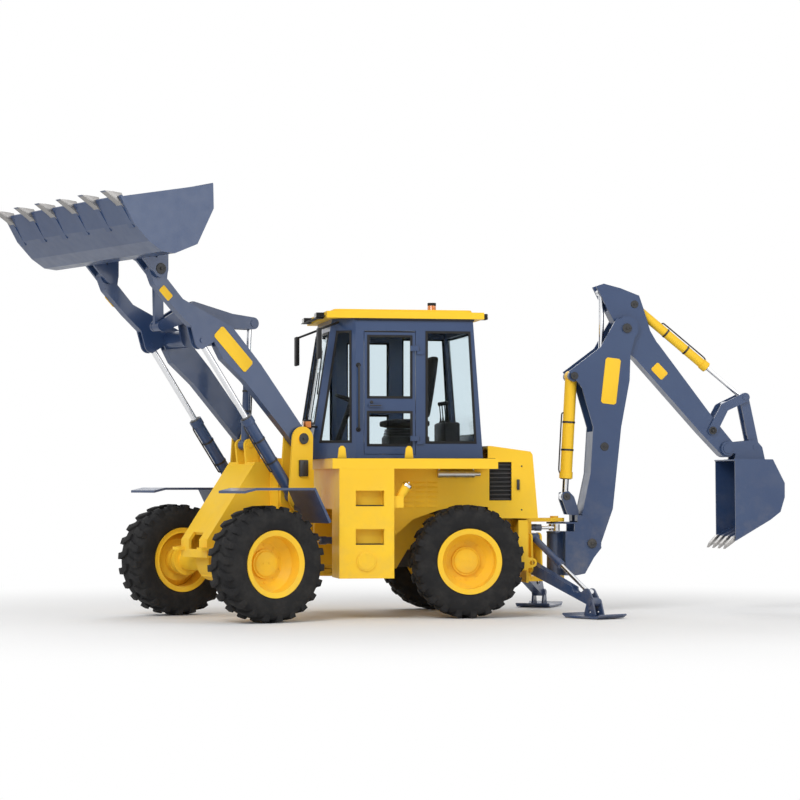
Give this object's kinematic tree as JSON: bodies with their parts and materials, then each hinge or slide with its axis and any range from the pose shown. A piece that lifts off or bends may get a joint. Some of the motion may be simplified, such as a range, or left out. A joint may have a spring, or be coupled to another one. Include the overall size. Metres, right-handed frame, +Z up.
{
  "type": "articulated backhoe loader",
  "caption": "Centre-hinged wheel loader and digger: cab on the rear half, bucket arms on the front half, digging arm on a swing post behind.",
  "frame": {"origin": "on the ground under the middle of the bounding box as posed in the picture", "axes": "+X to the rear end with the digging arm, +Y to the machine's right, +Z up"},
  "size_m": [8.5051, 4.0414, 4.3378],
  "materials": {
    "yellow_paint": "gloss",
    "slate_paint": "gloss",
    "dark_metal": "satin",
    "chrome_rod": "polished",
    "tyre_rubber": "matt",
    "window_glass": "clear",
    "seat_cover": "woven",
    "black_plastic": "satin",
    "lamp_plastic": "gloss",
    "silver_metal": "satin"
  },
  "bodies": {
    "rear_frame": {"rear_chassis": "yellow_paint", "rear_axle": "yellow_paint", "powertrain": "dark_metal", "platform": "yellow_paint", "side_tanks": "yellow_paint", "body_panels": "yellow_paint", "hood": "yellow_paint", "muffler": "silver_metal", "cab_shell": "slate_paint", "cab_glass": "window_glass", "cab_roof": "yellow_paint", "operator_seat": "seat_cover", "cab_controls": "black_plastic", "cab_fittings": "lamp_plastic", "hoe_mount": "yellow_paint"},
    "front_frame": {"front_chassis": "yellow_paint", "front_axle": "yellow_paint", "front_fenders": "slate_paint"},
    "wheel_front_left": {"rim_front_left": "yellow_paint", "tyre_front_left": "tyre_rubber"},
    "wheel_front_right": {"rim_front_right": "yellow_paint", "tyre_front_right": "tyre_rubber"},
    "wheel_rear_left": {"rim_rear_left": "yellow_paint", "tyre_rear_left": "tyre_rubber"},
    "wheel_rear_right": {"rim_rear_right": "yellow_paint", "tyre_rear_right": "tyre_rubber"},
    "door_left": {"door_left": "slate_paint", "door_glass_left": "window_glass"},
    "loader_arms": {"loader_arms": "slate_paint"},
    "lift_barrels": {"lift_barrels": "slate_paint"},
    "lift_rods": {"lift_rods": "chrome_rod"},
    "bucket_rocker": {"bucket_rocker": "slate_paint"},
    "bucket_link": {"bucket_link": "slate_paint"},
    "tilt_barrel": {"tilt_barrel": "slate_paint"},
    "tilt_rod": {"tilt_rod": "chrome_rod"},
    "loader_bucket": {"loader_bucket": "slate_paint"},
    "swing_post": {"swing_post": "slate_paint"},
    "swing_barrel_left": {"swing_barrel_left": "slate_paint"},
    "swing_barrel_right": {"swing_barrel_right": "slate_paint"},
    "swing_rod_left": {"swing_rod_left": "chrome_rod"},
    "swing_rod_right": {"swing_rod_right": "chrome_rod"},
    "boom": {"boom": "slate_paint"},
    "boom_barrel": {"boom_barrel": "yellow_paint"},
    "boom_rod": {"boom_rod": "chrome_rod"},
    "crowd_barrel": {"crowd_barrel": "slate_paint"},
    "crowd_rod": {"crowd_rod": "chrome_rod"},
    "dipper": {"dipper": "slate_paint"},
    "curl_barrel": {"curl_barrel": "yellow_paint"},
    "curl_rod": {"curl_rod": "chrome_rod"},
    "hoe_lever": {"hoe_lever": "slate_paint"},
    "hoe_link": {"hoe_link": "slate_paint"},
    "hoe_bucket": {"hoe_bucket": "slate_paint"},
    "leg_left": {"leg_left": "slate_paint"},
    "leg_right": {"leg_right": "slate_paint"},
    "leg_barrel_left": {"leg_barrel_left": "slate_paint"},
    "leg_barrel_right": {"leg_barrel_right": "slate_paint"},
    "leg_rod_left": {"leg_rod_left": "chrome_rod"},
    "leg_rod_right": {"leg_rod_right": "chrome_rod"},
    "steer_barrel": {"steer_barrel": "slate_paint"},
    "steer_rod": {"steer_rod": "chrome_rod"}
  },
  "joints": [
    {"name": "articulation", "type": "hinge", "parent": "rear_frame", "child": "front_frame", "pos_m": [-0.742, 0.464, 1.035], "axis": [0, 0, 1], "range_deg": [-60.46, 9.54]},
    {"name": "axle_front_left", "type": "hinge", "parent": "front_frame", "child": "wheel_front_left", "pos_m": [-1.56143, -0.92627, 0.59], "axis": [-0.4299, 0.9029, 0], "continuous": true},
    {"name": "axle_front_right", "type": "hinge", "parent": "front_frame", "child": "wheel_front_right", "pos_m": [-2.33779, 0.70434, 0.59], "axis": [-0.4299, 0.9029, 0], "continuous": true},
    {"name": "axle_rear_left", "type": "hinge", "parent": "rear_frame", "child": "wheel_rear_left", "pos_m": [0.5955, -0.439, 0.59], "axis": [0, 1, 0], "continuous": true},
    {"name": "axle_rear_right", "type": "hinge", "parent": "rear_frame", "child": "wheel_rear_right", "pos_m": [0.5955, 1.367, 0.59], "axis": [0, 1, 0], "continuous": true},
    {"name": "door_left", "type": "hinge", "parent": "rear_frame", "child": "door_left", "pos_m": [0.116, -0.252, 2.345], "axis": [0, 0, 1], "range_deg": [0, 90]},
    {"name": "lift", "type": "hinge", "parent": "front_frame", "child": "loader_arms", "pos_m": [-1.36499, 0.16738, 1.86], "axis": [-0.4299, 0.9029, 0], "range_deg": [-88, 2]},
    {"name": "lift_barrel_pin", "type": "hinge", "parent": "front_frame", "child": "lift_barrels", "pos_m": [-1.42819, 0.13729, 1.27], "axis": [-0.4299, 0.9029, 0], "range_deg": [-83.22, 2.38]},
    {"name": "lift_stroke", "type": "slide", "parent": "lift_barrels", "child": "lift_rods", "axis": [-0.5226, -0.2488, 0.8154], "range_m": [-0.8314, 0.0208]},
    {"name": "bucket_tilt", "type": "hinge", "parent": "loader_arms", "child": "loader_bucket", "pos_m": [-2.88726, -0.5574, 3.53], "axis": [0.4299, -0.9029, 0], "range_deg": [-80, 92]},
    {"name": "rocker", "type": "hinge", "parent": "loader_arms", "child": "bucket_rocker", "pos_m": [-2.27722, -0.26695, 3.17042], "axis": [-0.4299, 0.9029, 0], "range_deg": [-56.5, 64.9]},
    {"name": "link_pin", "type": "hinge", "parent": "bucket_rocker", "child": "bucket_link", "pos_m": [-2.60337, -0.42223, 3.0004], "axis": [0.4299, -0.9029, 0], "range_deg": [-12.35, 112.34]},
    {"name": "tilt_barrel_pin", "type": "hinge", "parent": "front_frame", "child": "tilt_barrel", "pos_m": [-1.66655, 0.0238, 1.799], "axis": [-0.4299, 0.9029, 0], "range_deg": [-107.17, 2.92]},
    {"name": "tilt_stroke", "type": "slide", "parent": "tilt_barrel", "child": "tilt_rod", "axis": [0.0414, 0.0197, 0.9989], "range_m": [-0.3738, 0.3253]},
    {"name": "steer_barrel_pin", "type": "hinge", "parent": "rear_frame", "child": "steer_barrel", "pos_m": [-0.412, 0.164, 0.8], "axis": [0, 0, 1], "range_deg": [-37.99, 6.41]},
    {"name": "steer_stroke", "type": "slide", "parent": "steer_barrel", "child": "steer_rod", "axis": [-0.9643, -0.2649, 0], "range_m": [-0.0503, 0.308]},
    {"name": "swing", "type": "hinge", "parent": "rear_frame", "child": "swing_post", "pos_m": [1.758, 0.464, 0.68], "axis": [0, 0, 1], "range_deg": [-90, 90]},
    {"name": "swing_left_barrel_pin", "type": "hinge", "parent": "rear_frame", "child": "swing_barrel_left", "pos_m": [1.248, 0.354, 0.921], "axis": [0, 0, 1], "range_deg": [-2.3, 2.3]},
    {"name": "swing_left_stroke", "type": "slide", "parent": "swing_barrel_left", "child": "swing_rod_left", "axis": [0.9998, 0.0196, 0], "range_m": [-0.0962, 0.0962]},
    {"name": "swing_right_barrel_pin", "type": "hinge", "parent": "rear_frame", "child": "swing_barrel_right", "pos_m": [1.248, 0.574, 0.921], "axis": [0, 0, 1], "range_deg": [-2.3, 2.3]},
    {"name": "swing_right_stroke", "type": "slide", "parent": "swing_barrel_right", "child": "swing_rod_right", "axis": [0.9998, -0.0196, 0], "range_m": [-0.0962, 0.0962]},
    {"name": "boom_foot", "type": "hinge", "parent": "swing_post", "child": "boom", "pos_m": [2.132, 0.464, 0.75], "axis": [0, 1, 0], "range_deg": [-3, 135]},
    {"name": "boom_barrel_pin", "type": "hinge", "parent": "boom", "child": "boom_barrel", "pos_m": [1.948, 0.464, 2.56], "axis": [0, 1, 0], "range_deg": [-0.59, 4.55]},
    {"name": "boom_stroke", "type": "slide", "parent": "boom_barrel", "child": "boom_rod", "axis": [-0.0536, 0, -0.9986], "range_m": [-0.0256, 1.0623]},
    {"name": "dipper_pin", "type": "hinge", "parent": "boom", "child": "dipper", "pos_m": [2.533, 0.464, 3.08], "axis": [0, -1, 0], "range_deg": [-16, 87]},
    {"name": "crowd_barrel_pin", "type": "hinge", "parent": "boom", "child": "crowd_barrel", "pos_m": [2.283, 0.464, 1.796], "axis": [0, 1, 0], "range_deg": [-12.68, 2.74]},
    {"name": "crowd_stroke", "type": "slide", "parent": "crowd_barrel", "child": "crowd_rod", "axis": [0.0012, 0, 1], "range_m": [-0.579, 0.1081]},
    {"name": "bucket_curl", "type": "hinge", "parent": "dipper", "child": "hoe_bucket", "pos_m": [3.682, 0.464, 1.779], "axis": [0, 1, 0], "range_deg": [-65, 75]},
    {"name": "lever_pin", "type": "hinge", "parent": "dipper", "child": "hoe_lever", "pos_m": [3.514, 0.464, 1.975], "axis": [0, 1, 0], "range_deg": [-46.65, 53.75]},
    {"name": "hoe_link_pin", "type": "hinge", "parent": "hoe_bucket", "child": "hoe_link", "pos_m": [4.001, 0.464, 1.795], "axis": [0, 1, 0], "range_deg": [-39.5, 34.3]},
    {"name": "curl_barrel_pin", "type": "hinge", "parent": "dipper", "child": "curl_barrel", "pos_m": [2.634, 0.464, 3.345], "axis": [0, 1, 0], "range_deg": [-3.27, 3.7]},
    {"name": "curl_stroke", "type": "slide", "parent": "curl_barrel", "child": "curl_rod", "axis": [0.7791, 0, -0.6269], "range_m": [-0.3967, 0.4574]},
    {"name": "stabiliser_left", "type": "hinge", "parent": "rear_frame", "child": "leg_left", "pos_m": [1.426, 0.044, 0.5], "axis": [-0.866, -0.5, 0], "range_deg": [-10, 75]},
    {"name": "leg_left_barrel_pin", "type": "hinge", "parent": "rear_frame", "child": "leg_barrel_left", "pos_m": [1.426, 0.044, 0.825], "axis": [-0.866, -0.5, 0], "range_deg": [-10.5, 75.5]},
    {"name": "leg_left_stroke", "type": "slide", "parent": "leg_barrel_left", "child": "leg_rod_left", "axis": [0.4164, -0.7212, -0.5536], "range_m": [-0.3685, 0.0509]},
    {"name": "stabiliser_right", "type": "hinge", "parent": "rear_frame", "child": "leg_right", "pos_m": [1.426, 0.884, 0.5], "axis": [0.866, -0.5, 0], "range_deg": [-10, 75]},
    {"name": "leg_right_barrel_pin", "type": "hinge", "parent": "rear_frame", "child": "leg_barrel_right", "pos_m": [1.426, 0.884, 0.825], "axis": [0.866, -0.5, 0], "range_deg": [-10.5, 75.5]},
    {"name": "leg_right_stroke", "type": "slide", "parent": "leg_barrel_right", "child": "leg_rod_right", "axis": [0.4164, 0.7212, -0.5536], "range_m": [-0.3685, 0.0509]}
  ],
  "couplings": [
    {"joint": "lift_barrel_pin", "follows": "lift", "ratio": 0.94},
    {"joint": "lift_stroke", "follows": "lift", "m_per_rad": 0.54},
    {"joint": "rocker", "follows": "bucket_tilt", "ratio": 0.7},
    {"joint": "tilt_barrel_pin", "follows": "lift", "ratio": 1.2122},
    {"joint": "tilt_stroke", "follows": "bucket_tilt", "m_per_rad": -0.2316},
    {"joint": "steer_barrel_pin", "follows": "articulation", "ratio": 0.62},
    {"joint": "steer_stroke", "follows": "articulation", "m_per_rad": -0.29},
    {"joint": "swing_left_barrel_pin", "follows": "swing", "ratio": 0.02},
    {"joint": "swing_left_stroke", "follows": "swing", "m_per_rad": 0.06},
    {"joint": "swing_right_barrel_pin", "follows": "swing", "ratio": 0.02},
    {"joint": "swing_right_stroke", "follows": "swing", "m_per_rad": -0.06},
    {"joint": "boom_barrel_pin", "follows": "boom_foot", "ratio": 0.03},
    {"joint": "boom_stroke", "follows": "boom_foot", "m_per_rad": 0.45},
    {"joint": "crowd_barrel_pin", "follows": "dipper_pin", "ratio": -0.14},
    {"joint": "crowd_stroke", "follows": "dipper_pin", "m_per_rad": -0.38},
    {"joint": "lever_pin", "follows": "bucket_curl", "ratio": 0.71},
    {"joint": "hoe_link_pin", "follows": "bucket_curl", "ratio": -0.52},
    {"joint": "curl_barrel_pin", "follows": "bucket_curl", "ratio": 0.0426},
    {"joint": "curl_stroke", "follows": "bucket_curl", "m_per_rad": 0.3479},
    {"joint": "leg_left_barrel_pin", "follows": "stabiliser_left", "ratio": 1},
    {"joint": "leg_left_stroke", "follows": "stabiliser_left", "m_per_rad": -0.28},
    {"joint": "leg_right_barrel_pin", "follows": "stabiliser_right", "ratio": 1},
    {"joint": "leg_right_stroke", "follows": "stabiliser_right", "m_per_rad": -0.28}
  ]
}
